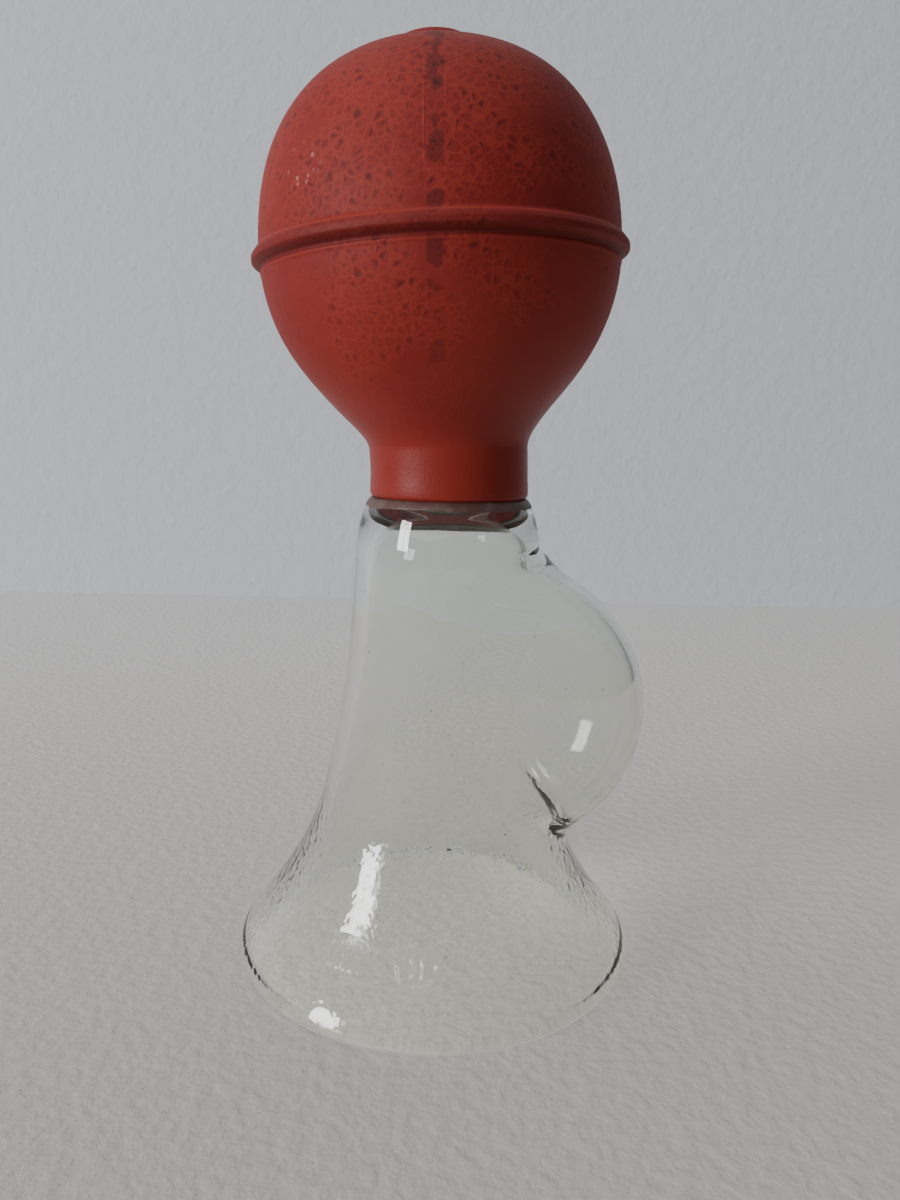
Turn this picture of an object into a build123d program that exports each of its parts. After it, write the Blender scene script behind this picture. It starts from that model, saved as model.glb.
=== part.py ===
"""Hand breast pump: a clear glass bell with a side reservoir lobe, and a rubber squeeze bulb on its neck.

Millimetres, +Z up. The origin is the centre of the mouth, on the plane the mouth rests on. The lobe is at +X.
"""

import math
import os

from build123d import *

# ---- Glass: the mouth and its trumpet flare ----
MOUTH_RADIUS = 32.5  # outer radius of the mouth
LIP_HEIGHT = 1.3  # height at which the lip is widest
GLASS_WALL = 2.4  # wall of the bell and its tube
WAIST_RADIUS = 18.2  # outer radius where the flare runs into the tube
WAIST_HEIGHT = 32.0
FLARE_FOOT_HANDLE = 2.6  # how long the flare stays upright above the lip
FLARE_TOP_HANDLE = 16.0  # how softly it turns into the tube
WAIST_LEAN = 1.2  # how far the tube still opens at the waist, over that handle
INNER_FOOT_SHARE = 0.7  # share of the wall that the inner surface's foot handle is shorter by
INNER_TOP_SHARE = 0.35  # share of the wall that its top handle reaches lower by
SHORTEST_HANDLE = 0.3

# ---- Glass: the tube, its rounded shoulder and the neck inside the bulb's collar ----
SEAT_HEIGHT = 75.0  # the flat that the collar sits on
SEAT_WIDTH = 1.7  # how far that flat stands out round the neck
SEAT_THICKNESS = 3.0  # glass under the flat
SHOULDER_RADIUS = 14.0
SHOULDER_DROP = 7.0  # how far below the seat the shoulder's curve starts
SHOULDER_DRAFT = 0.4  # how far its corner leans in
SHOULDER_FULLNESS = 0.72  # how full the shoulder's curve is: 0 is a bevel, 1 a square corner
SHOULDER_WALL = 3.4  # the glass is thicker under the seat
INNER_SHOULDER_DROP = 1.0  # how far below the outer shoulder the inner one starts
NECK_RADIUS = 10.0
NECK_LENGTH = 11.0  # how far the neck stands above the seat
NECK_WALL = 2.7
NECK_LIP_ROUND = 1.2
BORE_START = 1.0  # how far above the seat the neck's bore becomes straight

# ---- Glass: the reservoir lobe, a round form flattened between its two sides ----
LOBE_X = 10.0
LOBE_DROP = 33.1  # its centre below the seat, so that its top stays clear of the collar
LOBE_RADIUS = 22.4  # seen from the side
LOBE_HALF_WIDTH = 15.0  # seen from above
LOBE_WALL = 1.9

# ---- Rubber bulb ----
NECK_FIT = 0.06  # radial clearance between the collar's bore and the glass neck
COLLAR_WALL = 2.2
COLLAR_HEIGHT = 7.5
COLLAR_EDGE_ROUND = 0.7
GLOBE_RADIUS = 26.6
GLOBE_LOWER_HEIGHT = 28.5  # from the collar's top to the widest level
GLOBE_UPPER_HEIGHT = 28.0  # from the widest level to the top
GLOBE_LOWER_HANDLE = 17.0  # how far the globe stays wide below that level
COLLAR_HANDLE = 4.5  # how far the collar's line runs on upwards
GLOBE_UPPER_FULLNESS = 0.64  # share of each upper quarter's sides taken by its handles
RUBBER_WALL = 2.2
RIDGE_HEIGHT_OFFSET = -0.4  # ridge's level, from the widest level
RIDGE_HALF_HEIGHT = 2.0
RIDGE_STAND = 1.3  # how far the ridge stands out

# ---- Crown: the raised button at the top, which the squeeze carries down ----
CROWN_RADIUS = 6.0
CROWN_RISE = 0.8  # how far it stands above the globe's top
CROWN_GAP = 0.1  # radial clearance round it
CROWN_EDGE_ROUND = 0.5

seat_z = SEAT_HEIGHT
seat_radius = NECK_RADIUS + SEAT_WIDTH
shoulder_z = seat_z - SHOULDER_DROP
lobe_z = seat_z - LOBE_DROP
collar_bore = NECK_RADIUS + NECK_FIT
collar_radius = collar_bore + COLLAR_WALL
neck_top_z = seat_z + NECK_LENGTH
collar_top_z = seat_z + COLLAR_HEIGHT
widest_z = collar_top_z + GLOBE_LOWER_HEIGHT
globe_top_z = widest_z + GLOBE_UPPER_HEIGHT


def flare_handles(wall):
    """The flare's four Bezier points, for the surface that lies this far inside the outer one."""
    # The wall is square to the flare, which lies at about 45 degrees, so the inner handles end lower.
    foot_handle = max(FLARE_FOOT_HANDLE - wall * INNER_FOOT_SHARE, SHORTEST_HANDLE)
    top_handle = FLARE_TOP_HANDLE + wall * INNER_TOP_SHARE
    return [
        (MOUTH_RADIUS - wall, LIP_HEIGHT),
        (MOUTH_RADIUS - wall, LIP_HEIGHT + foot_handle),
        (WAIST_RADIUS - wall + WAIST_LEAN, WAIST_HEIGHT - top_handle),
        (WAIST_RADIUS - wall, WAIST_HEIGHT),
    ]


def tube_handles(wall, top_radius, top_height):
    """The tube's four Bezier points, from the waist up to the shoulder."""
    rise = (top_height - WAIST_HEIGHT) / 3
    lean = WAIST_LEAN * rise / FLARE_TOP_HANDLE
    return [
        (WAIST_RADIUS - wall, WAIST_HEIGHT),
        (WAIST_RADIUS - wall - lean, WAIST_HEIGHT + rise),
        (top_radius + lean, top_height - rise),
        (top_radius, top_height),
    ]


def glass_outer_edges():
    """The outer outline of the glass, from the lip's widest point up to the edge of the seat."""
    Bezier(*flare_handles(0))
    Bezier(*tube_handles(0, SHOULDER_RADIUS, shoulder_z))
    corner_radius = SHOULDER_RADIUS - SHOULDER_DRAFT
    side_handle = (
        SHOULDER_RADIUS - SHOULDER_DRAFT * SHOULDER_FULLNESS,
        shoulder_z + SHOULDER_DROP * SHOULDER_FULLNESS,
    )
    seat_handle = (seat_radius + (corner_radius - seat_radius) * SHOULDER_FULLNESS, seat_z)
    Bezier((SHOULDER_RADIUS, shoulder_z), side_handle, seat_handle, (seat_radius, seat_z))


def lobe_form(wall):
    """The lobe's solid form, this far inside its outer surface: a ball, narrowed between its two sides."""
    with BuildPart() as form:
        Sphere(LOBE_RADIUS - wall)
        scale(by=(1, (LOBE_HALF_WIDTH - wall) / (LOBE_RADIUS - wall), 1))
    return form.part.moved(Location((LOBE_X, 0, lobe_z)))


lobe_outside = lobe_form(0)
lobe_inside = lobe_form(LOBE_WALL)
inner_shoulder_radius = SHOULDER_RADIUS - SHOULDER_WALL
inner_shoulder_z = shoulder_z - INNER_SHOULDER_DROP
bore_radius = NECK_RADIUS - NECK_WALL
bore_start_z = seat_z + BORE_START

with BuildPart() as hollow:
    # The hollow of the bell, the tube and the neck.
    with BuildSketch(Plane.XZ):
        with BuildLine():
            Bezier(*flare_handles(GLASS_WALL))
            Bezier(*tube_handles(GLASS_WALL, inner_shoulder_radius, inner_shoulder_z))
            Bezier(
                (inner_shoulder_radius, inner_shoulder_z),
                (inner_shoulder_radius, seat_z - SEAT_THICKNESS),
                (bore_radius, seat_z - SEAT_THICKNESS),
                (bore_radius, bore_start_z),
            )
            Polyline(
                (bore_radius, bore_start_z),
                (bore_radius, neck_top_z),
                (0, neck_top_z),
                (0, 0),
                (MOUTH_RADIUS - GLASS_WALL, 0),
                (MOUTH_RADIUS - GLASS_WALL, LIP_HEIGHT),
            )
        make_face()
    revolve(axis=Axis.Z)
    # The hollow of the lobe, open to the tube.
    add(lobe_inside)

with BuildPart() as glass_bell:
    # The filled form of the bell, tube, shoulder and neck.
    with BuildSketch(Plane.XZ):
        with BuildLine():
            glass_outer_edges()
            Polyline(
                (seat_radius, seat_z),
                (NECK_RADIUS, seat_z),
                (NECK_RADIUS, neck_top_z),
                (0, neck_top_z),
                (0, 0),
                (MOUTH_RADIUS - LIP_HEIGHT, 0),
            )
            ThreePointArc(
                (MOUTH_RADIUS - LIP_HEIGHT, 0),
                (
                    MOUTH_RADIUS - LIP_HEIGHT * (1 - math.sqrt(0.5)),
                    LIP_HEIGHT * (1 - math.sqrt(0.5)),
                ),
                (MOUTH_RADIUS, LIP_HEIGHT),
            )
        make_face()
    revolve(axis=Axis.Z)
    # The filled form of the lobe.
    add(lobe_outside)
    add(hollow.part, mode=Mode.SUBTRACT)
    # The neck's fire-polished lip.
    fillet(glass_bell.faces().filter_by(Axis.Z).sort_by(Axis.Z)[-1].edges(), NECK_LIP_ROUND)
glass_bell.part.label = "glass_bell"


def globe_edges(collar, wall):
    """The bulb's outline from the collar's top up to the axis, this far inside the outer surface."""
    radius = GLOBE_RADIUS - wall
    top = globe_top_z - wall
    upper = GLOBE_UPPER_HEIGHT - wall
    Bezier(
        (collar, collar_top_z),
        (collar, collar_top_z + COLLAR_HANDLE),
        (radius, widest_z - GLOBE_LOWER_HANDLE),
        (radius, widest_z),
    )
    Bezier(
        (radius, widest_z),
        (radius, widest_z + upper * GLOBE_UPPER_FULLNESS),
        (radius * GLOBE_UPPER_FULLNESS, top),
        (0, top),
    )


with BuildPart() as rubber_bulb:
    with BuildSketch(Plane.XZ):
        with BuildLine():
            globe_edges(collar_radius, 0)
            Polyline(
                (0, globe_top_z),
                (0, seat_z),
                (collar_radius, seat_z),
                (collar_radius, collar_top_z),
            )
        make_face()
    revolve(axis=Axis.Z)
    fillet(rubber_bulb.edges().group_by(Axis.Z)[0], COLLAR_EDGE_ROUND)
    # The moulded ridge round the widest level.
    with BuildSketch(Plane.XZ):
        with Locations((GLOBE_RADIUS - RIDGE_HALF_HEIGHT + RIDGE_STAND, widest_z + RIDGE_HEIGHT_OFFSET)):
            Circle(RIDGE_HALF_HEIGHT)
    revolve(axis=Axis.Z)
    # The hollow, open at the collar, and the hole that the crown stands in.
    with BuildSketch(Plane.XZ):
        with BuildLine():
            globe_edges(collar_bore, RUBBER_WALL)
            Polyline(
                (0, globe_top_z - RUBBER_WALL),
                (0, seat_z),
                (collar_bore, seat_z),
                (collar_bore, collar_top_z),
            )
        make_face()
    revolve(axis=Axis.Z, mode=Mode.SUBTRACT)
    with BuildSketch(Plane.XY.offset(widest_z)):
        Circle(CROWN_RADIUS + CROWN_GAP)
    extrude(amount=GLOBE_UPPER_HEIGHT, mode=Mode.SUBTRACT)
rubber_bulb.part.label = "rubber_bulb"

with BuildPart() as bulb_crown:
    with BuildSketch(Plane.XY.offset(globe_top_z - RUBBER_WALL)):
        Circle(CROWN_RADIUS)
    extrude(amount=RUBBER_WALL + CROWN_RISE)
    fillet(bulb_crown.edges().group_by(Axis.Z)[-1], CROWN_EDGE_ROUND)
bulb_crown.part.label = "bulb_crown"

os.makedirs("parts", exist_ok=True)
export_step(glass_bell.part, "parts/glass_bell.step")
export_step(rubber_bulb.part, "parts/rubber_bulb.step")
export_step(bulb_crown.part, "parts/bulb_crown.step")
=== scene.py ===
"""The look of a hand breast pump: a clear glass bell with a side reservoir lobe, and a red rubber bulb.

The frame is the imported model's own: metres, +Z up, the mouth's centre at the origin, the lobe at +X. The
classes keep their sizes in millimetres and their angles in degrees, as a maker would, and turn them into
metres when a mesh is made.
"""

import logging
import math
from dataclasses import dataclass
from enum import Enum
from typing import Any, Sequence

import bpy
import numpy as np
from mathutils import Matrix, Vector


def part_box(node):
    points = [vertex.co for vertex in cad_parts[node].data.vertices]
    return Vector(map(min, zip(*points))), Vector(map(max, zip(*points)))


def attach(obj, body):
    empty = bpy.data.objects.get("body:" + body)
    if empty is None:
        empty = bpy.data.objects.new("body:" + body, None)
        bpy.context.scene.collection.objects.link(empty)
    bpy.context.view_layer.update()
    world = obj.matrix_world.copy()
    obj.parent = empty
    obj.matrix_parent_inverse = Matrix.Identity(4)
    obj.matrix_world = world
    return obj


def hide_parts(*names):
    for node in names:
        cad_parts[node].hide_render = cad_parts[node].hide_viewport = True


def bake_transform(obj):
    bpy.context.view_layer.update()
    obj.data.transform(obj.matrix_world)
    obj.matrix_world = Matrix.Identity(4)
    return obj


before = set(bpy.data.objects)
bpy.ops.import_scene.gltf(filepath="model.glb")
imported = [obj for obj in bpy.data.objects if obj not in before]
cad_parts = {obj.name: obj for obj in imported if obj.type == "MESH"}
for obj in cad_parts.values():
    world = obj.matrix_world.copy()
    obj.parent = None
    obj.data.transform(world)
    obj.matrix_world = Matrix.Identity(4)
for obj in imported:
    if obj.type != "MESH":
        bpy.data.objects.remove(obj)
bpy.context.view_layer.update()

logging.basicConfig(level=logging.INFO, format="%(name)s: %(message)s")
LOG = logging.getLogger("pump")

MM = 0.001
Colour = tuple[float, float, float]
Point = tuple[float, float]
Triple = tuple[float, float, float]


# Shader graphs


class Term:
    """A shader socket that can be used in Python expressions, which add the Math nodes they need."""

    def __init__(self, graph: "Graph", socket: bpy.types.NodeSocket) -> None:
        """Wraps one output socket."""
        self.graph = graph
        self.socket = socket

    def _math(self, operation: str, *operands: Any, clamp: bool = False) -> "Term":
        """Adds one Math node."""
        settings = {"operation": operation, "use_clamp": clamp}
        return self.graph.add("ShaderNodeMath", settings, dict(enumerate(operands)))

    def __add__(self, other: Any) -> "Term":
        """Sum."""
        return self._math("ADD", self, other)

    def __sub__(self, other: Any) -> "Term":
        """Difference."""
        return self._math("SUBTRACT", self, other)

    def __rsub__(self, other: Any) -> "Term":
        """Difference, with this term taken away."""
        return self._math("SUBTRACT", other, self)

    def __mul__(self, other: Any) -> "Term":
        """Product."""
        return self._math("MULTIPLY", self, other)

    def __abs__(self) -> "Term":
        """Size without sign."""
        return self._math("ABSOLUTE", self)

    def clamped(self) -> "Term":
        """This value, kept between 0 and 1."""
        return self._math("ADD", self, 0.0, clamp=True)

    def rise(self, start: float, end: float) -> "Term":
        """A smooth step of this value."""
        settings = {"interpolation_type": "SMOOTHSTEP"}
        values = {"Value": self, "From Min": min(start, end), "From Max": max(start, end)}
        step = self.graph.add("ShaderNodeMapRange", settings, values)
        return step if start < end else 1 - step

    def band(self, centre: float, half_width: float, softness: float) -> "Term":
        """1 within a band of this value and 0 outside it."""
        return abs(self - centre).rise(half_width + softness, half_width)


class Graph:
    """A material's or a world's node graph, and the few ways in which nodes are added to it."""

    def __init__(self, tree: bpy.types.NodeTree) -> None:
        """Empties the tree."""
        self.tree = tree
        tree.nodes.clear()

    @staticmethod
    def _find(sockets: Any, key: Any) -> bpy.types.NodeSocket:
        """Finds a socket."""
        if isinstance(key, int):
            return sockets[key]
        for socket in sockets:
            if socket.identifier == key:
                return socket
        return sockets[key]

    def node(self, kind: str, settings: dict[str, Any], values: dict[Any, Any]) -> bpy.types.Node:
        """Adds a node.

        Args:
            kind: the node's type.
            settings: its properties, which are set first.
            values: its inputs, as terms, numbers or tuples, by name, identifier or number. A colour is
                three numbers.

        Returns:
            The node.
        """
        made = self.tree.nodes.new(kind)
        for name, setting in settings.items():
            setattr(made, name, setting)
        for key, value in values.items():
            socket = self._find(made.inputs, key)
            if isinstance(value, Term):
                self.tree.links.new(value.socket, socket)
            else:
                socket.default_value = (*value, 1.0) if socket.type == "RGBA" else value
        return made

    def add(self, kind: str, settings: dict[str, Any], values: dict[Any, Any], output: Any = 0) -> Term:
        """Adds a node and takes one of its outputs."""
        return Term(self, self._find(self.node(kind, settings, values).outputs, output))

    def mix(self, factor: Any, first: Any, second: Any) -> Term:
        """Mixes two colours."""
        values = {"Factor_Float": factor, "A_Color": first, "B_Color": second}
        return self.add("ShaderNodeMix", {"data_type": "RGBA"}, values, "Result_Color")

    def surface(self, values: dict[str, Any]) -> Term:
        """A Principled surface."""
        return self.add("ShaderNodeBsdfPrincipled", {}, values)

    def bump(self, relief: Term) -> Term:
        """The normal that a relief in millimetres gives."""
        return self.add("ShaderNodeBump", {}, {"Strength": 1.0, "Distance": MM, "Height": relief})

    def place(self) -> Term:
        """The point on the object, in metres."""
        return self.add("ShaderNodeTexCoord", {}, {}, "Object")

    def axes(self, place: Term) -> tuple[Term, Term, Term]:
        """The three coordinates of a point."""
        split = self.node("ShaderNodeSeparateXYZ", {}, {"Vector": place})
        return tuple(Term(self, split.outputs[i]) for i in range(3))

    def noise(self, place: Term, size: float, detail: float = 2.0, output: str = "Fac") -> Term:
        """Soft noise."""
        values = {"Vector": place, "Scale": 1 / (size * MM), "Detail": detail}
        return self.add("ShaderNodeTexNoise", {}, values, output)

    def stretched(self, place: Term, scale: Triple) -> Term:
        """A point whose coordinates are scaled, for a pattern that is longer one way."""
        return self.add("ShaderNodeMapping", {}, {"Vector": place, "Scale": scale})

    def jogged(self, place: Term, size: float, amount: float) -> Term:
        """A point pushed about by noise, so that a pattern's lines wander."""
        push = self.noise(place, size, 1.0, "Color")
        settings = {"operation": "MULTIPLY_ADD"}
        share = (amount * MM,) * 3
        return self.add("ShaderNodeVectorMath", settings, {0: push, 1: share, 2: place})


# Finishes


@dataclass(frozen=True)
class Finish:
    """A finish, which makes one material."""

    name: str

    def make(self) -> bpy.types.Material:
        """Makes the material."""
        material = bpy.data.materials.new(self.name)
        material.use_nodes = True
        graph = Graph(material.node_tree)
        graph.node("ShaderNodeOutputMaterial", {}, {"Surface": self.shade(graph)})
        return material

    def shade(self, graph: Graph) -> Term:
        """Fills the graph and gives its surface."""
        raise NotImplementedError


@dataclass(frozen=True)
class OldPressedGlass(Finish):
    """Clear soda glass from a mould: faintly green, smooth above and finely stippled on the flare."""

    tint: Colour = (0.942, 0.957, 0.912)
    lamp_tint: Colour = (0.8, 0.805, 0.78)
    roughness: float = 0.012
    stipple_size: float = 1.3
    stipple_height: float = 0.06
    stipple_top: float = 33.0
    stipple_fade: float = 14.0
    ripple_size: float = 7.0
    ripple_height: float = 0.05
    smear_size: float = 9.0
    smear_roughness: float = 0.02
    index: float = 1.5

    def shade(self, graph: Graph) -> Term:
        """Clear glass with a stippled flare, which lets the lamps' light through to what is behind.

        Args:
            graph: the material's graph.

        Returns:
            The surface.
        """
        place = graph.place()
        _, _, height = graph.axes(place)
        on_flare = height.rise(self.stipple_top * MM, (self.stipple_top - self.stipple_fade) * MM)
        stipple = graph.noise(graph.jogged(place, 2.0, 0.4), self.stipple_size, 1.0) * on_flare
        ripple = graph.noise(graph.stretched(place, (1, 1, 0.35)), self.ripple_size, 0.0)
        relief = stipple * self.stipple_height + ripple * self.ripple_height
        smear = graph.noise(graph.stretched(place, (1, 1, 0.5)), self.smear_size, 3.0).rise(0.5, 0.8)
        body = {
            "Base Color": self.tint,
            "Roughness": smear * self.smear_roughness + self.roughness,
            "IOR": self.index,
            "Transmission Weight": 1.0,
            "Normal": graph.bump(relief),
        }
        glass = graph.surface(body)
        clear = graph.add("ShaderNodeBsdfTransparent", {}, {"Color": self.lamp_tint})
        to_lamp = graph.add("ShaderNodeLightPath", {}, {}, "Is Shadow Ray")
        return graph.add("ShaderNodeMixShader", {}, {0: to_lamp, 1: glass, 2: clear})


@dataclass(frozen=True)
class AgedRedRubber(Finish):
    """Old red rubber: matt and crackled, with a blotched mould seam, painted shade and highlights at the
    ridge and a lower globe painted lighter.
    """

    collar_top: float
    ridge: float
    top: float
    seam_x: float
    fleck_centre: Triple
    body: Colour = (0.18, 0.0105, 0.0095)
    # the paler net colour, also used for painted highlights at the ridge and painted light on the lower globe
    bloom_and_painted_light: Colour = (0.285, 0.029, 0.018)
    # the dark crackle colour, also used for painted shade in the crease and under the ridge
    cells_and_painted_shade: Colour = (0.068, 0.0045, 0.0055)
    dusty: Colour = (0.2, 0.03, 0.022)
    fleck: Colour = (0.42, 0.24, 0.21)
    sheen: Colour = (0.85, 0.32, 0.25)
    cell_size: float = 1.35
    fine_share: float = 0.45
    net_width: float = 0.13
    seam_half_width: float = 1.35
    seam_lean: float = 0.021
    tilt: float = 0.054
    crackle_start: float = 4.0
    crackle_end: float = 16.0
    crease_drop: float = 1.6
    under_drop: float = 0.4
    fin_rise: float = 1.0
    rim_drop: float = 2.2
    dust_depth: float = 12.0
    grain_size: float = 0.32
    grain_height: float = 0.035
    wrinkle_size: float = 1.3

    def shade(self, graph: Graph) -> Term:
        """Crackled rubber, with painted shade and highlights along the ridge, the lower globe painted
        lighter, the blotched seam, dust on top and a few flecks.

        Args:
            graph: the material's graph.

        Returns:
            The surface.
        """
        place = graph.place()
        across, _, height = graph.axes(place)
        height = height - across * self.tilt
        collar, ridge, top = self.collar_top, self.ridge, self.top
        on_globe = height.rise((collar + self.crackle_start) * MM, (collar + self.crackle_end) * MM)
        upper = height.rise(ridge * MM, (ridge + 12) * MM)
        low = height.rise((ridge - 2) * MM, (ridge - 14) * MM)
        patches = graph.noise(place, 9.0, 3.0)
        wander = graph.jogged(place, 1.6, 0.9)
        near_seam = abs(across - (self.seam_x - 5) * MM).rise(17 * MM, 4 * MM)
        spread = (patches + upper * 0.15 + near_seam * 0.12 - low * 0.04).rise(0.5, 0.68) * on_globe

        net = self._edge(graph, wander, self.cell_size)
        fine = self._edge(graph, wander, self.cell_size * self.fine_share)
        chosen = graph.noise(place, 1.9, 1.0).rise(0.42, 0.62)
        cell = net.rise(self.net_width, self.net_width * 3.2) * chosen * spread
        speck = fine.rise(0.22, 0.4) * graph.noise(place, 2.6, 1.0).rise(0.5, 0.64) * on_globe
        line = net.rise(self.net_width * 1.2, 0.02) * spread

        seam = abs(across + (height - ridge * MM) * self.seam_lean - self.seam_x * MM)
        strip = seam.rise(self.seam_half_width * MM, (self.seam_half_width - 0.5) * MM)
        broken = graph.noise(graph.stretched(place, (1, 1, 0.6)), 4.0, 2.0).rise(0.42, 0.66) * upper
        strip_edge = seam.band(self.seam_half_width * MM, 0.05 * MM, 0.16 * MM) * broken * 0.7
        blotched = graph.noise(graph.stretched(place, (0.5, 0.1, 1)), 3.0, 2.0) - seam * (0.09 / MM)
        blotch = blotched.rise(0.45, 0.5) * strip * on_globe

        def band(rise: float, half: float, softness: float) -> Term:
            """A line round the bulb, this far above the ridge's middle."""
            return height.band((ridge + rise) * MM, half * MM, softness * MM)

        tone = graph.noise(place, 19.0, 4.0).rise(0.3, 0.72)
        # the crease and under bands carry painted shade, the fin and rim bands painted highlights
        crease, under = band(-self.crease_drop, 0.2, 0.45), band(-self.under_drop, 0.9, 0.5)
        fin, rim = band(self.fin_rise, 0.1, 0.22), band(-self.rim_drop, 0.05, 0.22)
        dust = height.rise((top - self.dust_depth) * MM, top * MM) * tone
        flecks = self._flecks(graph, place)
        colour = graph.mix(tone * 0.45, self.body, self.bloom_and_painted_light)
        layers = [
            (line * 0.5 + strip_edge * 0.45, self.bloom_and_painted_light),
            ((cell * 0.74 + speck * 0.45 + blotch * 0.6).clamped(), self.cells_and_painted_shade),
            # painted shade: the crease and the band under the ridge made darker
            (crease * 0.45 + under * 0.3, self.cells_and_painted_shade),
            # painted highlights: the fin and rim lines made lighter
            (fin * 0.7 + rim * 0.4, self.bloom_and_painted_light),
            (dust * 0.3, self.dusty),
            # painted light: the lower globe made lighter, standing in for light thrown up from the floor
            (low * 0.3, self.bloom_and_painted_light),
            (flecks, self.fleck),
        ]
        for amount, paint in layers:
            colour = graph.mix(amount, colour, paint)

        grain = graph.noise(place, self.grain_size, 2.0) * self.grain_height
        wrinkles = graph.noise(wander, self.wrinkle_size, 2.0) * (on_globe * 0.05 + 0.012)
        relief = grain + wrinkles - cell * 0.05 + strip_edge * 0.07 + flecks * 0.05
        values = {
            "Base Color": colour,
            "Roughness": on_globe * 0.2 + patches * 0.12 + 0.36,
            "Specular IOR Level": 0.22,
            "Sheen Weight": 0.04,
            "Sheen Roughness": 0.4,
            "Sheen Tint": self.sheen,
            "Normal": graph.bump(relief),
        }
        return graph.surface(values)

    def _edge(self, graph: Graph, place: Term, size: float) -> Term:
        """How far a point is from the border of its cell."""
        settings = {"feature": "DISTANCE_TO_EDGE"}
        return graph.add("ShaderNodeTexVoronoi", settings, {"Vector": place, "Scale": 1 / (size * MM)})

    def _flecks(self, graph: Graph, place: Term) -> Term:
        """A small group of pale flecks at one place."""
        centre = tuple(c * MM for c in self.fleck_centre)
        away = graph.add("ShaderNodeVectorMath", {"operation": "DISTANCE"}, {0: place, 1: centre}, "Value")
        settings = {"feature": "F1"}
        dots = graph.add("ShaderNodeTexVoronoi", settings, {"Vector": place, "Scale": 1 / (1.15 * MM)})
        return dots.rise(0.3, 0.2) * away.rise(4.5 * MM, 2.0 * MM) * 0.7


@dataclass(frozen=True)
class DarkSeed(Finish):
    """A grain of ash caught in the glass."""

    colour: Colour = (0.055, 0.05, 0.045)
    pale: Colour = (0.16, 0.15, 0.13)

    def shade(self, graph: Graph) -> Term:
        """Dark ash, a little uneven."""
        tone = graph.noise(graph.place(), 0.3, 1.0)
        colour = graph.mix(tone, self.colour, self.pale)
        return graph.surface({"Base Color": colour, "Roughness": tone * 0.3 + 0.4})


@dataclass(frozen=True)
class BrownFilmFinish(Finish):
    """A brown-grey film."""

    colour: Colour = (0.085, 0.036, 0.03)
    pale: Colour = (0.14, 0.09, 0.076)

    def shade(self, graph: Graph) -> Term:
        """A matt, uneven film."""
        tone = graph.noise(graph.place(), 2.2, 3.0).rise(0.4, 0.7)
        colour = graph.mix(tone, self.colour, self.pale)
        return graph.surface({"Base Color": colour, "Roughness": tone * 0.2 + 0.45})


@dataclass(frozen=True)
class PaleCloth(Finish):
    """A plain pale surface with a very faint nap, and painted shade that makes it darker towards the camera.
    """

    colour: Colour
    shaded_near_colour: Colour
    patch: float
    nap: float
    near: float = -160.0
    far: float = 260.0

    def shade(self, graph: Graph) -> Term:
        """Pale cloth, with painted shade towards the camera."""
        place = graph.place()
        _, depth, _ = graph.axes(place)
        # painted shade: the colour goes darker towards the camera
        distant = depth.rise(self.near * MM, self.far * MM)
        tone = graph.noise(place, self.patch, 4.0).rise(0.32, 0.68)
        values = {
            "Base Color": graph.mix((distant + tone * 0.12).clamped(), self.shaded_near_colour, self.colour),
            "Roughness": 0.9,
            "Specular IOR Level": 0.2,
            "Normal": graph.bump(tone * self.nap),
        }
        return graph.surface(values)


# Meshes


def bezier(handles: Sequence[Point], shares: np.ndarray) -> np.ndarray:
    """Points on a cubic curve."""
    a, b, c, d = (np.array(h, float) for h in handles)
    t = np.asarray(shares, float)[:, None]
    return a * (1 - t) ** 3 + 3 * b * t * (1 - t) ** 2 + 3 * c * t**2 * (1 - t) + d * t**3


def arc(centre: Point, radii: Point, start: float, end: float, count: int) -> np.ndarray:
    """Points on an arc of a circle or an ellipse."""
    angles = np.radians(np.linspace(start, end, count))
    return np.stack([centre[0] + radii[0] * np.cos(angles), centre[1] + radii[1] * np.sin(angles)], 1)


def smooth(value: np.ndarray, start: float, end: float) -> np.ndarray:
    """A smooth step from 0 at start to 1 at end."""
    t = np.clip((value - start) / (end - start), 0, 1)
    return t * t * (3 - 2 * t)


def bump_of(value: np.ndarray, centre: float, width: float) -> np.ndarray:
    """A bell-shaped bump of height 1."""
    return np.exp(-(((value - centre) / width) ** 2))


def placed(name: str, data: Any) -> bpy.types.Object:
    """Makes an object of this data in the scene."""
    made = bpy.data.objects.new(name, data)
    bpy.context.scene.collection.objects.link(made)
    return made


def new_mesh(
    name: str, points: np.ndarray, faces: Sequence[Sequence[int]], finish: Finish | None = None
) -> bpy.types.Object:
    """Makes a smooth mesh object from points in millimetres.

    Args:
        name: the piece's name.
        points: one row for each vertex.
        faces: the faces' corners.
        finish: its finish, if it has one.

    Returns:
        The object, linked to the scene.
    """
    mesh = bpy.data.meshes.new(name)
    mesh.from_pydata((points * MM).tolist(), [], faces)
    mesh.validate()
    mesh.polygons.foreach_set("use_smooth", [True] * len(mesh.polygons))
    mesh.update()
    if finish:
        mesh.materials.append(finish.make())
    return placed(name, mesh)


def grid(turns: int, count: int, closed: bool) -> list[tuple[int, int, int, int]]:
    """The faces of a grid of points that goes once round an axis."""
    return [
        (i * count + j, k * count + j, k * count + (j + 1) % count, i * count + (j + 1) % count)
        for i in range(turns)
        for k in [(i + 1) % turns]
        for j in range(count if closed else count - 1)
    ]


def report(piece: bpy.types.Object) -> None:
    """Logs a piece's size and how many faces it has."""
    size = tuple(round(side / MM, 1) for side in piece.dimensions)
    LOG.info("%s: %s faces, %s mm", piece.name, len(piece.data.polygons), size)


# Geometry Nodes


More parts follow.
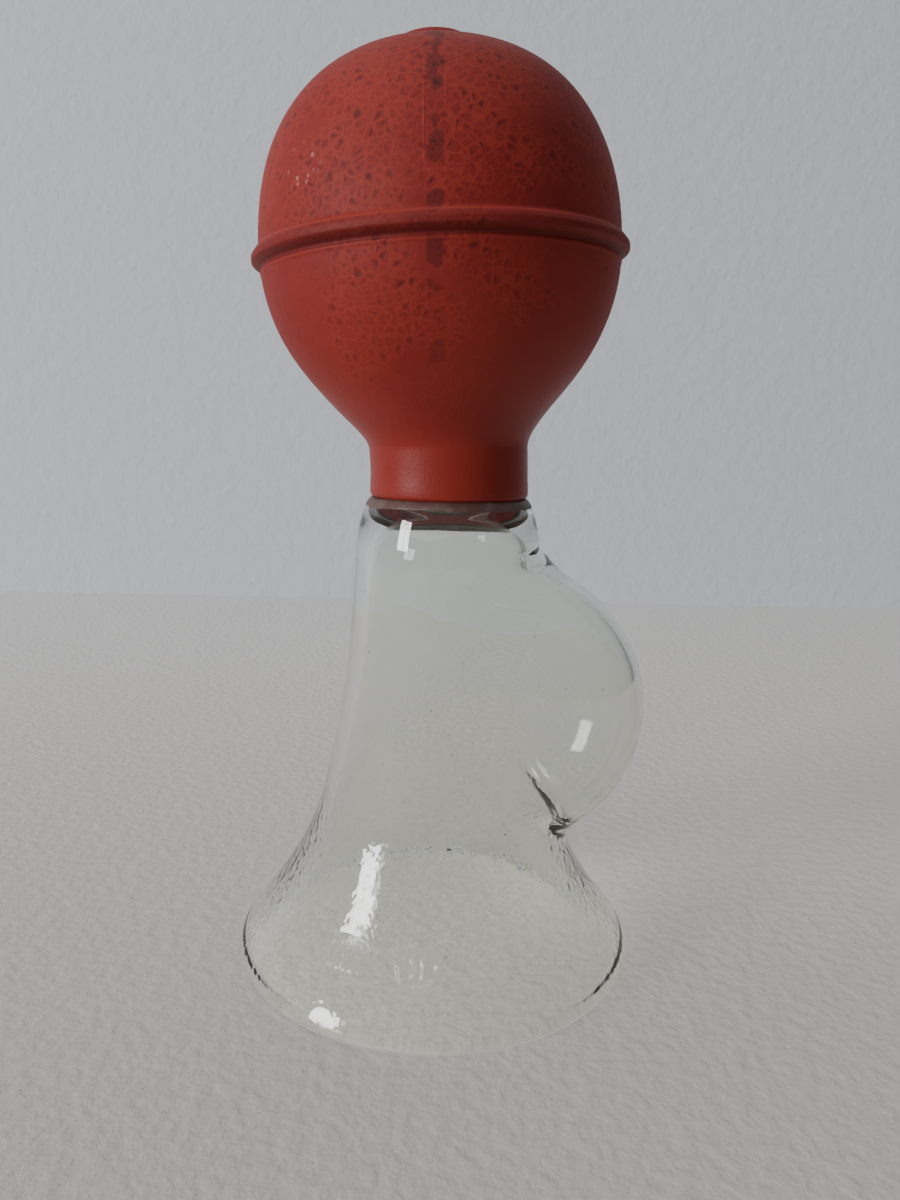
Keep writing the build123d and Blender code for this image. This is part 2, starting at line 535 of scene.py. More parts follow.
class NodeRecipe(Graph):
    """A Geometry Nodes tree built in code, with named inputs."""

    KINDS = {float: "NodeSocketFloat", int: "NodeSocketInt"}

    def __init__(self, name: str) -> None:
        """Starts a tree that takes a geometry and gives one back."""
        super().__init__(bpy.data.node_groups.new(name, "GeometryNodeTree"))
        for way in ("INPUT", "OUTPUT"):
            self.tree.interface.new_socket("Geometry", in_out=way, socket_type="NodeSocketGeometry")
        self.inlet = self.node("NodeGroupInput", {}, {})
        self.source = Term(self, self.inlet.outputs["Geometry"])
        self.values: dict[str, Any] = {}

    def size(self, name: str, value: float | int) -> Term:
        """Adds a named input."""
        made = self.tree.interface.new_socket(name, in_out="INPUT", socket_type=self.KINDS[type(value)])
        self.values[made.identifier] = value
        return Term(self, self.inlet.outputs[name])

    def bake(
        self, source: bpy.types.Object, material: bpy.types.Material, geometry: Term, name: str
    ) -> bpy.types.Object:
        """Ends the tree, runs it on an object and keeps the result as a plain mesh.

        Args:
            source: the object that the tree works on, which is removed.
            material: the result's material.
            geometry: the result.
            name: the new piece's name.

        Returns:
            The new piece.
        """
        real = self.add("GeometryNodeRealizeInstances", {}, {"Geometry": geometry})
        dressed = self.add("GeometryNodeSetMaterial", {}, {"Geometry": real, "Material": material})
        self.node("NodeGroupOutput", {}, {"Geometry": dressed})
        modifier = source.modifiers.new("recipe", "NODES")
        modifier.node_group = self.tree
        for identifier, value in self.values.items():
            modifier[identifier] = value
        bpy.context.view_layer.update()
        depsgraph = bpy.context.evaluated_depsgraph_get()
        mesh = bpy.data.meshes.new_from_object(source.evaluated_get(depsgraph))
        source.modifiers.remove(modifier)
        mesh.name = name
        bpy.data.objects.remove(source)
        return placed(name, mesh)


# The glass bell


class Side(Enum):
    """Which of the glass's two surfaces a profile follows."""

    OUTER = "outer"
    INNER = "inner"


@dataclass(frozen=True)
class Lobe:
    """The reservoir lobe: an egg-like form whose long axis leans, blown out of the tube's side."""

    x: float = 12.1
    height: float = 41.75
    across: float = 20.25
    half_width: float = 15.0
    along: float = 23.05
    lean: float = 17.0

    def distance(self, x: np.ndarray, y: np.ndarray, z: np.ndarray, wall: float) -> np.ndarray:
        """How far points are from the lobe's surface.

        Args:
            x: the points' x.
            y: their y.
            z: their height.
            wall: how far the surface lies inside the outer one.

        Returns:
            The distances, below 0 inside.
        """
        turn = math.radians(self.lean)
        dx, dz = x - self.x, z - self.height
        parts = [
            (dx * math.cos(turn) + dz * math.sin(turn), self.across - wall),
            (y, self.half_width - wall),
            (dz * math.cos(turn) - dx * math.sin(turn), self.along - wall),
        ]
        near = np.sqrt(sum((p / r) ** 2 for p, r in parts))
        slope = np.sqrt(sum((p / r**2) ** 2 for p, r in parts))
        return near * (near - 1) / np.maximum(slope, 1e-9)


class GlassPart:
    """Something that is in the glass or on it, and moves with it."""

    def dress(self, piece: bpy.types.Object) -> None:
        """Puts a piece on the glass's body."""
        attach(piece, "glass")


@dataclass
class GlassBell(GlassPart):
    """The glass: mouth, flare, tube, reservoir lobe, rounded shoulder and the neck inside the collar."""

    mouth_radius: float
    neck_top: float
    seat: float
    lip: float = 1.3
    lip_inner: float = 1.1
    wall: float = 2.4
    waist_radius: float = 18.8
    waist: float = 28.0
    foot_handle: float = 3.2
    top_handle: float = 16.0
    waist_lean: float = 3.0
    shoulder_radius: float = 14.6
    shoulder_drop: float = 9.0
    shoulder_lean: float = 0.05
    fullness: float = 0.55
    shoulder_wall: float = 2.7
    neck_radius: float = 10.0
    seat_width: float = 1.7
    neck_wall: float = 2.7
    neck_round: float = 1.2
    lobe_wall: float = 1.5
    lobe: Lobe = Lobe()
    upper_fillet: float = 6.5
    lower_fillet: float = 3.2
    sway: float = 1.3
    sway_start: float = 10.0
    sway_end: float = 50.0
    inner_foot_share: float = 0.7
    shortest_foot: float = 0.3
    inner_top_share: float = 0.35
    inner_shoulder_drop: float = 1.0
    seat_corner: tuple[Point, ...] = ((0.5, 0.0), (0.12, 0.05), (0.0, 0.3))
    neck_middle: float = 5.0
    bore_drop: float = 3.0
    bore_handle: float = 1.0
    fillet_change: float = 6.0
    reach: float = 48.0
    halvings: int = 34
    mark_height: float = 0.42
    ring_bearing: float = -93.5
    ring_rise: float = 10.1
    ring_radius: float = 2.75
    ring_line: float = 0.38
    bar_line: float = 0.34
    ring_bars: tuple[float, ...] = (-0.75, 0.75)
    ring_bar_half: float = 1.3
    row_bearing: float = -117.0
    row_rise: float = 10.0
    row_bars: int = 5
    row_bar_half: float = 1.35
    row_gap: float = 1.35
    bar_end: float = 0.4
    fine_from: float = -135.0
    fine_to: float = -82.0
    fine_step: float = 0.3
    coarse_steps: int = 188

    def sections(self, side: Side) -> tuple[np.ndarray, np.ndarray]:
        """The body's profile from the lip to the shoulder, where the lobe may meet it.

        Args:
            side: which surface.

        Returns:
            The points (radius, height) and, for each, how much the distance along the radius overstates the
            distance to the surface.
        """
        inside = 0.0 if side is Side.OUTER else self.wall
        foot = max(self.foot_handle - inside * self.inner_foot_share, self.shortest_foot)
        top_handle = self.top_handle + inside * self.inner_top_share
        flare = [
            (self.mouth_radius - inside, self.lip),
            (self.mouth_radius - inside, self.lip + foot),
            (self.waist_radius - inside + self.waist_lean, self.waist - top_handle),
            (self.waist_radius - inside, self.waist),
        ]
        outer = side is Side.OUTER
        top = (self.shoulder_radius - (0.0 if outer else self.shoulder_wall), self.shoulder(side))
        rise = (top[1] - self.waist) / 3
        lean = self.waist_lean * rise / self.top_handle
        tube = [
            (self.waist_radius - inside, self.waist),
            (self.waist_radius - inside - lean, self.waist + rise),
            (top[0] + self.shoulder_lean * rise, top[1] - rise),
            top,
        ]
        shares = np.linspace(0, 1, 34)
        if outer:  # closer rows where the flare carries its marks
            marked = np.linspace(0.27, 0.58, 40)
            shares = np.concatenate([np.linspace(0, 0.27, 7)[:-1], marked[:-1], np.linspace(0.58, 1, 24)])
        tube_shares = np.linspace(0, 1, 52 if outer else 40)
        points = np.concatenate([bezier(flare, shares), bezier(tube, tube_shares)[1:]])
        run = np.gradient(points, axis=0)
        return points, np.abs(run[:, 1]) / np.hypot(run[:, 0], run[:, 1])

    def shoulder(self, side: Side) -> float:
        """The height at which the shoulder's curve starts."""
        return self.seat - self.shoulder_drop - (0.0 if side is Side.OUTER else self.inner_shoulder_drop)

    def shoulder_line(self, shares: np.ndarray) -> np.ndarray:
        """The shoulder's outer curve, from the tube to the seat.

        Args:
            shares: where the points are, from 0 to 1.

        Returns:
            The points, (radius, height).
        """
        seat_radius = self.neck_radius + self.seat_width
        corner = self.shoulder_radius - self.shoulder_lean * self.shoulder_drop
        start = self.shoulder(Side.OUTER)
        low_handle = self.shoulder_radius + (corner - self.shoulder_radius) * self.fullness
        outer = [
            (self.shoulder_radius, start),
            (low_handle, start + self.shoulder_drop * self.fullness),
            (seat_radius + (corner - seat_radius) * self.fullness, self.seat),
            (seat_radius, self.seat),
        ]
        return bezier(outer, shares)

    def head(self) -> np.ndarray:
        """The profile above the shoulder: over the seat and the neck, and down inside to the tube.

        Returns:
            The points, (radius, height).
        """
        bore = self.neck_radius - self.neck_wall
        inner_start = self.shoulder(Side.INNER)
        inner_radius = self.shoulder_radius - self.shoulder_wall
        inner = [
            (inner_radius, inner_start),
            (inner_radius, self.seat - self.bore_drop),
            (bore, self.seat - self.bore_drop),
            (bore, self.seat + self.bore_handle),
        ]
        lip_z = self.neck_top - self.neck_round
        middle = self.seat + self.neck_middle
        turn = (self.neck_round, self.neck_round)
        return np.concatenate(
            [
                self.shoulder_line(np.linspace(0, 1, 15)[1:]),
                np.array(self.seat_corner) + (self.neck_radius, self.seat),
                [[self.neck_radius, middle]],
                arc((self.neck_radius - self.neck_round, lip_z), turn, 0, 90, 8),
                arc((bore + self.neck_round, lip_z), turn, 90, 180, 8),
                [[bore, middle]],
                bezier(inner, np.linspace(1, 0, 16)),
            ]
        )

    def swell(self, side: Side, angles: np.ndarray) -> tuple[np.ndarray, np.ndarray]:
        """The radius of the body with the lobe grown out of it, at each angle and height.

        Args:
            side: which surface.
            angles: the directions round the axis.

        Returns:
            The radii, one row for each angle, and the heights.
        """
        points, shares = self.sections(side)
        radius, height = points[:, 0][None, :], points[:, 1][None, :]
        wall = 0.0 if side is Side.OUTER else self.lobe_wall
        middle, change = self.lobe.height, self.fillet_change
        upper = smooth(height, middle - change, middle + change)
        fillet = self.lower_fillet + (self.upper_fillet - self.lower_fillet) * upper
        high = np.full((len(angles), radius.shape[1]), self.reach)
        low = radius * 0.8 + 0 * high
        across, along = np.cos(angles)[:, None], np.sin(angles)[:, None]
        for _ in range(self.halvings):
            trial = (low + high) / 2
            body = (trial - radius) * shares[None, :]
            lobe = self.lobe.distance(trial * across, trial * along, height, wall)
            mixed = np.clip(0.5 + 0.5 * (lobe - body) / fillet, 0, 1)
            inside = lobe * (1 - mixed) + body * mixed - fillet * mixed * (1 - mixed) < 0
            low, high = np.where(inside, trial, low), np.where(inside, high, trial)
        return (low + high) / 2, points[:, 1]

    def marks(self, angles: np.ndarray, radii: np.ndarray, heights: np.ndarray) -> np.ndarray:
        """The relief pressed into the flare: a plain ring with two bars in it, and a row of bars beside it.

        Args:
            angles: the directions round the axis.
            radii: the surface's radii there.
            heights: the surface's heights.

        Returns:
            How far the surface stands out.
        """
        slope = np.hypot(1, np.gradient(radii, axis=1) / np.gradient(heights)[None, :])

        def around(bearing: float) -> np.ndarray:
            """How far each point lies sideways of a bearing."""
            return (angles[:, None] - math.radians(bearing)) * radii

        def bar(across: np.ndarray, along: np.ndarray, offset: float, half: float) -> np.ndarray:
            """An upright bar with soft ends."""
            return bump_of(across, offset, self.bar_line) * smooth(np.abs(along), half + self.bar_end, half)

        across = around(self.ring_bearing)
        along = (heights[None, :] - self.ring_rise) * slope
        relief = bump_of(np.hypot(across, along), self.ring_radius, self.ring_line)
        for offset in self.ring_bars:
            relief = np.maximum(relief, bar(across, along, offset, self.ring_bar_half))
        across = around(self.row_bearing)
        along = (heights[None, :] - self.row_rise) * slope
        for index in range(self.row_bars):
            offset = (index - self.row_bars // 2) * self.row_gap
            relief = np.maximum(relief, bar(across, along, offset, self.row_bar_half))
        return relief * self.mark_height

    def build(self, finish: Finish) -> bpy.types.Object:
        """Makes the mesh: one closed skin, out over the lip, up, over the neck and down inside.

        Args:
            finish: the glass's finish.

        Returns:
            The piece.
        """
        fine = np.arange(self.fine_from, self.fine_to, self.fine_step)
        coarse = np.linspace(self.fine_to, self.fine_from + 360, self.coarse_steps, endpoint=False)
        angles = np.radians(np.concatenate([fine, coarse]))
        outer, outer_z = self.swell(Side.OUTER, angles)
        outer = outer + self.marks(angles, outer, outer_z)
        inner, inner_z = self.swell(Side.INNER, angles)
        head = self.head()
        middle = (self.mouth_radius - self.lip, self.lip)
        lip_out = arc(middle, (self.lip, self.lip), -90, 0, 8)[:-1]
        lip_in = arc(middle, (self.lip_inner, self.lip), 180, 270, 8)[1:-1]
        spread = np.ones((len(angles), 1))
        rows = [
            (lip_out[:, 0] * spread, lip_out[:, 1]),
            (outer, outer_z),
            (head[:, 0] * spread, head[:, 1]),
            (inner[:, ::-1][:, 1:], inner_z[::-1][1:]),
            (lip_in[:, 0] * spread, lip_in[:, 1]),
        ]
        radii = np.concatenate([r for r, _ in rows], 1)
        heights = np.concatenate([z for _, z in rows])[None, :] * spread
        points = self.points(radii, angles, heights)
        return new_mesh("glass_bell_skin", points, grid(*radii.shape, True), finish)

    def dress(self, piece: bpy.types.Object) -> None:
        """Puts the glass in the place of the CAD's."""
        super().dress(piece)
        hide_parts("glass_bell")

    def points(self, radii: np.ndarray, angles: np.ndarray, heights: np.ndarray) -> np.ndarray:
        """Points at these radii, directions and heights, with the glass's sway towards its lobe."""
        x = radii * np.cos(angles)[:, None] + self.sway * smooth(heights, self.sway_start, self.sway_end)
        y = radii * np.sin(angles)[:, None]
        return np.stack([x, y, heights], -1).reshape(-1, 3)


@dataclass
class GlassSeeds(GlassPart):
    """Grains of ash in the glass, scattered by Geometry Nodes just under its outer surface."""

    count_per_area: float = 3200.0
    smallest: float = 0.05
    largest: float = 0.17
    depth: float = 0.6
    turns: int = 72
    first_row: int = 40
    row_step: int = 3
    seed: int = 11

    def build(self, bell: GlassBell, finish: Finish) -> bpy.types.Object:
        """Scatters the grains.

        Args:
            bell: the glass that they lie in.
            finish: their finish.

        Returns:
            The piece.
        """
        recipe = NodeRecipe("seed_scatter")
        density = recipe.size("Seeds per area", self.count_per_area)
        small = recipe.size("Smallest", self.smallest * MM)
        large = recipe.size("Largest", self.largest * MM)
        seed = recipe.size("Seed", self.seed)
        spots = {"Mesh": recipe.source, "Density": density, "Seed": seed}
        scatter = recipe.add("GeometryNodeDistributePointsOnFaces", {}, spots)
        sizes = {2: small, 3: large, "Seed": seed}
        size = recipe.add("FunctionNodeRandomValue", {"data_type": "FLOAT"}, sizes, 1)
        grain = recipe.add("GeometryNodeMeshIcoSphere", {}, {"Radius": 1.0, "Subdivisions": 2})
        grains = {"Points": scatter, "Instance": grain, "Scale": size}
        scattered = recipe.add("GeometryNodeInstanceOnPoints", {}, grains)
        angles = np.radians(np.linspace(0, 360, self.turns, endpoint=False))
        radii, heights = bell.swell(Side.OUTER, angles)
        kept = slice(self.first_row, -2, self.row_step)
        radii, heights = radii[:, kept] - self.depth, heights[kept]
        points = bell.points(radii, angles, np.broadcast_to(heights, radii.shape))
        source = new_mesh("seed_field", points, grid(*radii.shape, False))
        return recipe.bake(source, finish.make(), scattered, "glass_seeds")


@dataclass
class BrownFilmBand(GlassPart):
    """A thin brown film on the glass under the collar, with a ragged lower edge."""

    depth: float = 1.3
    raggedness: float = 0.2
    stand: float = 0.02
    thickness: float = 0.03
    edge_share: float = 0.3
    drop: float = 0.02
    turns: int = 360
    waves: tuple[int, ...] = (3, 5, 11, 23, 47, 71)
    seed: int = 5

    def build(self, bell: GlassBell, finish: Finish) -> bpy.types.Object:
        """Makes the film as a closed thin ring that follows the glass.

        Args:
            bell: the glass under it.
            finish: the film's finish.

        Returns:
            The piece.
        """
        shoulder = bell.shoulder_line(np.linspace(0, 1, 60))
        angles = np.radians(np.linspace(0, 360, self.turns, endpoint=False))
        random = np.random.default_rng(self.seed)
        edge = np.zeros(self.turns)
        for waves in self.waves:
            wave = np.cos(angles * waves + random.uniform(0, math.tau))
            edge += wave * random.uniform(0.3, 1) / waves**0.5
        bottom = bell.seat - self.depth + edge * self.raggedness
        steps = np.linspace(0, 1, 9)
        heights = bell.seat + (bottom[:, None] - bell.seat) * steps[None, :] - self.drop
        radii = np.interp(heights, shoulder[:, 1], shoulder[:, 0])
        outer, inner = radii + self.stand + self.thickness, radii + self.stand
        outer[:, -1] = inner[:, -1] + self.thickness * self.edge_share
        both = np.concatenate([outer, inner[:, ::-1]], 1)
        rises = np.concatenate([heights, heights[:, ::-1]], 1)
        points = bell.points(both, angles, rises)
        piece = new_mesh("brown_film_band", points, grid(*both.shape, True), finish)
        outwards(piece)
        return piece


# The rubber bulb


@dataclass
class RubberBulb:
    """The bulb: collar, globe with its moulded ridge, and the crown, as one soft skin with a real wall."""

    seat: float
    top: float
    ridge_radius: float
    neck_radius: float
    sway: float
    ridge: float = 110.6
    collar: float = 7.5
    collar_wall: float = 2.2
    fit: float = 0.06
    seat_press: float = 0.05
    collar_round: float = 0.7
    bore_corner: tuple[Point, ...] = ((0.35, 0.0), (0.1, 0.1), (0.0, 0.35))
    swell: float = 0.12
    swell_rise: float = 1.2
    swell_width: float = 1.6
    globe_radius: float = 26.6
    lower_handle: float = 17.0
    collar_handle: float = 4.5
    upper_fullness: float = 0.64
    wall: float = 2.2
    ridge_offset: float = 0.4
    ridge_half: float = 1.55
    ridge_foot: float = 1.0
    ridge_slope: float = 0.0
    fin_stand: float = 0.16
    # the fin, the crease and the rim: how far above the ridge's middle, how wide and how proud
    beads: tuple[Triple, ...] = ((0.95, 0.24, fin_stand), (-1.75, 0.3, -0.14), (-2.2, 0.3, 0.1))
    crown_rise: float = 0.8
    crown_stand: float = 1.5
    crown_inner: float = 4.9
    crown_outer: float = 6.3
    lean: float = 3.1
    lean_rise: float = 14.0
    segments: int = 180
    path_radius: float = 20.0
    unevenness: float = 0.5
    dent_size: float = 24.0
    ovalness: float = 0.006
    merge_distance: float = 0.004

    def outline(self) -> np.ndarray:
        """The section from the top's centre, down outside, round the collar and up inside to the centre.

        Returns:
            The points, (radius, height).
        """
        widest = self.ridge + self.ridge_offset
        collar_top = self.seat + self.collar
        bore = self.neck_radius + self.fit
        edge = bore + self.collar_wall
        dome_top = self.top - self.crown_rise
        fullness = self.upper_fullness

        def globe(inset: float, collar: float, upper: np.ndarray, lower: np.ndarray) -> np.ndarray:
            """The line from the top's centre to the collar, this far inside the outer surface."""
            radius, high = self.globe_radius - inset, dome_top - inset
            rise = high - widest
            shoulder = (radius, widest + rise * fullness)
            dome = [(0, high), (radius * fullness, high), shoulder, (radius, widest)]
            bowl = [
                (radius, widest),
                (radius, widest - self.lower_handle),
                (collar, collar_top + self.collar_handle),
                (collar, collar_top),
            ]
            return np.concatenate([bezier(dome, upper), bezier(bowl, lower)[1:]])

        upper = np.concatenate([np.linspace(0, 0.9, 52)[:-1], np.linspace(0.9, 1, 34)])
        lower = np.concatenate([np.linspace(0, 0.09, 34)[:-1], np.linspace(0.09, 1, 56)])
        outer = globe(0.0, edge, upper, lower)
        crown = 1 - smooth(outer[:, 0], self.crown_inner, self.crown_outer)
        outer[:, 1] += self.crown_stand * crown * (outer[:, 1] > widest)
        outer[:, 0] += self.moulding(outer[:, 1])
        foot = self.seat - self.seat_press
        collar_round = self.collar_round
        start = foot + collar_round
        turned = arc((edge - collar_round, start), (collar_round, collar_round), 0, -90, 7)
        inner = globe(self.wall, bore, np.linspace(0, 1, 22), np.linspace(0, 1, 26))[::-1]
        rows = np.linspace(collar_top, start, 9)
        swell = bump_of(rows, foot + self.swell_rise, self.swell_width) * self.swell
        side = np.stack([edge + swell, rows], 1)
        bottom = np.array(self.bore_corner) + (bore, foot)
        return np.concatenate([outer, side[1:], turned[1:] + [swell[-1], 0], bottom, inner])

    def moulding(self, height: np.ndarray) -> np.ndarray:
        """How far the moulded ridge stands out, with the small fin above it and the crease and rim under it.

        Args:
            height: heights on the globe.

        Returns:
            The stand, in millimetres.
        """
        from_middle = height - self.ridge
        proud = self.ridge_radius - self.globe_radius - self.fin_stand
        low = smooth(from_middle, -self.ridge_half, self.ridge_foot - self.ridge_half)
        high = smooth(from_middle, self.ridge_half, self.ridge_slope)
        stand = proud * low * high
        for rise, width, proud_by in self.beads:
            stand = stand + proud_by * bump_of(from_middle, rise, width)
        return stand

    def build(self, finish: Finish) -> bpy.types.Object:
        """Turns the outline round the axis with Geometry Nodes, and gives it its lean and soft unevenness.

        Args:
            finish: the rubber's finish.

        Returns:
            The piece.
        """
        profile = self.outline()
        curve = bpy.data.curves.new("bulb_section", "CURVE")
        curve.dimensions = "3D"
        spline = curve.splines.new("POLY")
        spline.points.add(len(profile) - 1)
        path_radius = self.path_radius
        for point, (radius, height) in zip(spline.points, profile):
            point.co = ((radius - path_radius) * MM, -height * MM, 0, 1)
        source = placed("bulb_section", curve)

        recipe = NodeRecipe("bulb_lathe")
        segments = recipe.size("Segments", self.segments)
        ring_radius = recipe.size("Ring radius", path_radius * MM)
        lean = recipe.size("Lean", -math.radians(self.lean))
        sway = recipe.size("Sway of the neck", self.sway * MM)
        seat = recipe.size("Seat", self.seat * MM)
        lean_rise = recipe.size("Lean reached above the seat", self.lean_rise * MM)
        uneven = recipe.size("Unevenness", self.unevenness * MM)
        oval = recipe.size("Ovalness", self.ovalness)

        circle = {"Resolution": segments, "Radius": ring_radius}
        ring = recipe.add("GeometryNodeCurvePrimitiveCircle", {"mode": "RADIUS"}, circle)
        upright = recipe.add("GeometryNodeSetCurveNormal", {"mode": "Z_UP"}, {"Curve": ring})
        curves = {"Curve": upright, "Profile Curve": recipe.source}
        merging = {
            "Geometry": recipe.add("GeometryNodeCurveToMesh", {}, curves),
            "Distance": self.merge_distance * MM,
        }
        merged = recipe.add("GeometryNodeMergeByDistance", {}, merging)
        smooth_skin = recipe.add("GeometryNodeSetShadeSmooth", {}, {"Geometry": merged})

        place = recipe.add("GeometryNodeInputPosition", {}, {})
        across, _, height = recipe.axes(place)
        above = height - seat
        reached = {"Value": above, "From Min": 0.0, "From Max": lean_rise}
        on_globe = recipe.add("ShaderNodeMapRange", {"interpolation_type": "SMOOTHSTEP"}, reached)
        push = (recipe.noise(place, self.dent_size, 1.0) - 0.5) * uneven * on_globe
        normal = recipe.add("GeometryNodeInputNormal", {}, {})
        dented = recipe.add("ShaderNodeVectorMath", {"operation": "SCALE"}, {0: normal, "Scale": push})
        turn = lean * on_globe
        slide = turn * above + sway
        wider = across * oval * on_globe
        moved = recipe.add("ShaderNodeCombineXYZ", {}, {0: slide + wider, 2: turn * -1.0 * across})
        offset = recipe.add("ShaderNodeVectorMath", {"operation": "ADD"}, {0: dented, 1: moved})
        leaning = recipe.add("GeometryNodeSetPosition", {}, {"Geometry": smooth_skin, "Offset": offset})
        piece = recipe.bake(source, finish.make(), leaning, "rubber_bulb_skin")
        outwards(piece)
        return piece

    def dress(self, piece: bpy.types.Object) -> None:
        """Puts the bulb in the frame and hides the CAD's bulb and crown.

        Args:
            piece: the bulb.
        """
        start, end = (0, 0, (self.seat + self.collar) * MM), (0, 0, self.top * MM)
        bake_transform(piece)
        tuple(start)
        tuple(end)
        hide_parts("rubber_bulb", "bulb_crown")


def outwards(piece: bpy.types.Object) -> None:
    """Turns a closed skin's faces outwards where its volume shows that they point in."""
    mesh = piece.data
    mesh.calc_loop_triangles()
    corners = np.array([v.co for v in mesh.vertices])
    triangles = np.array([t.vertices for t in mesh.loop_triangles])
    a, b, c = (corners[triangles[:, i]] for i in range(3))
    volume = np.einsum("ij,ij->i", a, np.cross(b, c)).sum() / 6
    if volume < 0:
        mesh.flip_normals()
    LOG.info("%s holds %.0f cubic mm", piece.name, abs(volume) / MM**3)


# The studio


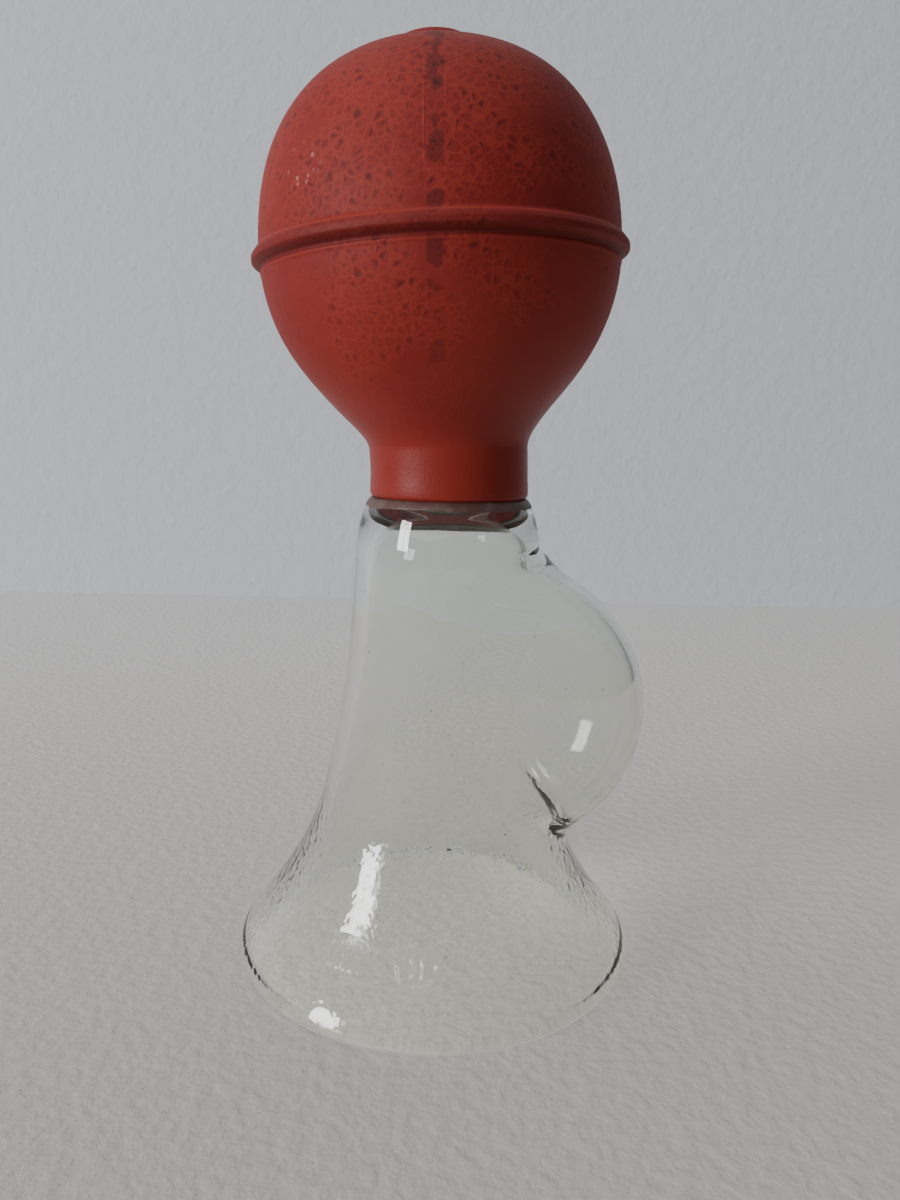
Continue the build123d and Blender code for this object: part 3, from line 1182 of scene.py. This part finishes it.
@dataclass
class Studio:
    """A pale floor, a pale wall behind it, a window to the left and a soft room, with the camera."""

    camera_distance: float = 142.36
    camera_side: float = 1.79
    camera_height: float = 85.38
    camera_pitch: float = 10.73
    camera_roll: float = 1.13
    lens: float = 27.01
    wall_distance: float = 308.0
    wall_right: float = 330.0
    floor_size: float = 1600.0
    # the floor's second colour is painted shade towards the camera
    floor_finish: Finish = PaleCloth("pale_floor", (0.68, 0.655, 0.635), (0.52, 0.488, 0.45), 2.2, 0.1)
    wall_finish: Finish = PaleCloth("pale_wall", (0.575, 0.585, 0.625), (0.56, 0.57, 0.61), 5.0, 0.15)
    window_bearing: float = 57.0
    window_elevation: float = 14.0
    window_distance: float = 2500.0
    pane_width: float = 300.0
    pane_height: float = 930.0
    pane_gap: float = 30.0
    window_power: float = 29.0
    window_colour: Colour = (0.97, 0.985, 1.0)
    fill_power: float = 15.5
    fill_size: float = 2000.0
    fill_bearing: float = 50.0
    fill_elevation: float = 68.0
    fill_distance: float = 2600.0
    fill_colour: Colour = (1.0, 0.985, 0.96)
    aim_height: float = 60.0
    room: Colour = (0.46, 0.47, 0.485)
    room_dark: Colour = (0.11, 0.115, 0.105)

    def build(self) -> None:
        """Makes the floor, the wall, the lights, the room and the camera."""
        self._surfaces()
        self._window()
        self._room()
        self._camera()

    def _surfaces(self) -> None:
        """The floor and the wall."""
        half, back, side = self.floor_size / 2, self.wall_distance, self.wall_right
        floor_corners = [(-half, -half * 2, 0), (half, -half * 2, 0), (half, back, 0), (-half, back, 0)]
        wall_corners = [(-half, back, 0), (side, back, 0), (side, back, half), (-half, back, half)]
        floor = new_mesh("floor", np.array(floor_corners, float), [(0, 1, 2, 3)], self.floor_finish)
        wall = new_mesh("wall", np.array(wall_corners, float), [(0, 1, 2, 3)], self.wall_finish)

    def _aimed(
        self, data: bpy.types.Light, bearing: float, elevation: float, distance: float, shift: float
    ) -> None:
        """Places a light that looks at the object.

        Args:
            data: the light.
            bearing: how far to the left of the camera's side of the object it stands, in degrees.
            elevation: how high it stands, in degrees.
            distance: how far away it is, in millimetres.
            shift: how far it is moved sideways, in millimetres.
        """
        turn, up = math.radians(bearing), math.radians(elevation)
        back = Vector((-math.sin(turn) * math.cos(up), -math.cos(turn) * math.cos(up), math.sin(up)))
        lamp = placed(data.name, data)
        turned = back.to_track_quat("Z", "Y")
        aim = Vector((0, 0, self.aim_height * MM))
        lamp.location = aim + back * distance * MM + turned @ Vector((shift * MM, 0, 0))
        lamp.rotation_mode = "QUATERNION"
        lamp.rotation_quaternion = turned

    def _window(self) -> None:
        """Two tall panes beside each other, and a broad soft fill on the same side."""
        for index, side in enumerate((-1, 1)):
            pane = bpy.data.lights.new(f"window_pane_{index + 1}", "AREA")
            pane.shape = "RECTANGLE"
            pane.size, pane.size_y = self.pane_width * MM, self.pane_height * MM
            pane.energy = self.window_power
            pane.color = self.window_colour
            shift = side * (self.pane_width + self.pane_gap) / 2
            self._aimed(pane, self.window_bearing, self.window_elevation, self.window_distance, shift)
        fill = bpy.data.lights.new("soft_fill", "AREA")
        fill.shape = "DISK"
        fill.size = self.fill_size * MM
        fill.energy = self.fill_power
        fill.color = self.fill_colour
        self._aimed(fill, self.fill_bearing, self.fill_elevation, self.fill_distance, 0)

    def _room(self) -> None:
        """The rest of the room: pale above and to the left, darker to the right and behind the camera."""
        world = bpy.data.worlds.new("soft_room")
        bpy.context.scene.world = world
        world.use_nodes = True
        graph = Graph(world.node_tree)
        across, depth, height = graph.axes(graph.add("ShaderNodeTexCoord", {}, {}, "Generated"))
        lit = (0.62 - across * 0.6 + height * 0.3 + depth * 0.3).clamped()
        colour = graph.mix(lit, self.room_dark, self.room)
        back = graph.add("ShaderNodeBackground", {}, {"Color": colour, "Strength": 1.0})
        graph.node("ShaderNodeOutputWorld", {}, {"Surface": back})

    def _camera(self) -> None:
        """The camera, a little above the bulb's collar and looking down."""
        pitch, roll = math.radians(self.camera_pitch), math.radians(self.camera_roll)
        forward = Vector((0, math.cos(pitch), -math.sin(pitch)))
        side, up = Vector((1, 0, 0)), Vector((0, math.sin(pitch), math.cos(pitch)))
        right = side * math.cos(roll) + up * math.sin(roll)
        top = up * math.cos(roll) - side * math.sin(roll)
        data = bpy.data.cameras.new("camera")
        data.lens = self.lens
        data.clip_start = 0.01
        camera = placed("camera", data)
        place = Vector((self.camera_side, -self.camera_distance, self.camera_height)) * MM
        turn = Matrix((right, top, -forward)).transposed().to_4x4()
        camera.matrix_world = Matrix.Translation(place) @ turn
        bpy.context.scene.camera = camera


def main() -> None:
    """Builds the glass, what lies in and on it, the bulb and the studio, and notes the sizes."""
    glass_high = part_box("glass_bell")[1]
    bulb_low, bulb_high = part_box("rubber_bulb")
    crown_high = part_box("bulb_crown")[1]
    bell = GlassBell(glass_high.x / MM, neck_top=glass_high.z / MM, seat=bulb_low.z / MM)
    seeds, film_band = GlassSeeds(), BrownFilmBand()
    on_glass = [
        (bell, bell.build(OldPressedGlass("old_pressed_glass"))),
        (seeds, seeds.build(bell, DarkSeed("dark_seed"))),
        (film_band, film_band.build(bell, BrownFilmFinish("brown_film"))),
    ]
    for part, piece in on_glass:
        part.dress(piece)
        report(piece)

    bulb = RubberBulb(
        seat=bulb_low.z / MM,
        top=crown_high.z / MM,
        ridge_radius=bulb_high.x / MM,
        neck_radius=bell.neck_radius,
        sway=bell.sway,
    )
    rubber = AgedRedRubber(
        "aged_red_rubber",
        collar_top=bulb.seat + bulb.collar,
        ridge=bulb.ridge,
        top=bulb.top,
        seam_x=-0.9,
        fleck_centre=(-16.6, -18.0, 118.0),
    )
    skin = bulb.build(rubber)
    bulb.dress(skin)
    report(skin)

    Studio().build()


if __name__ == "__main__":
    main()
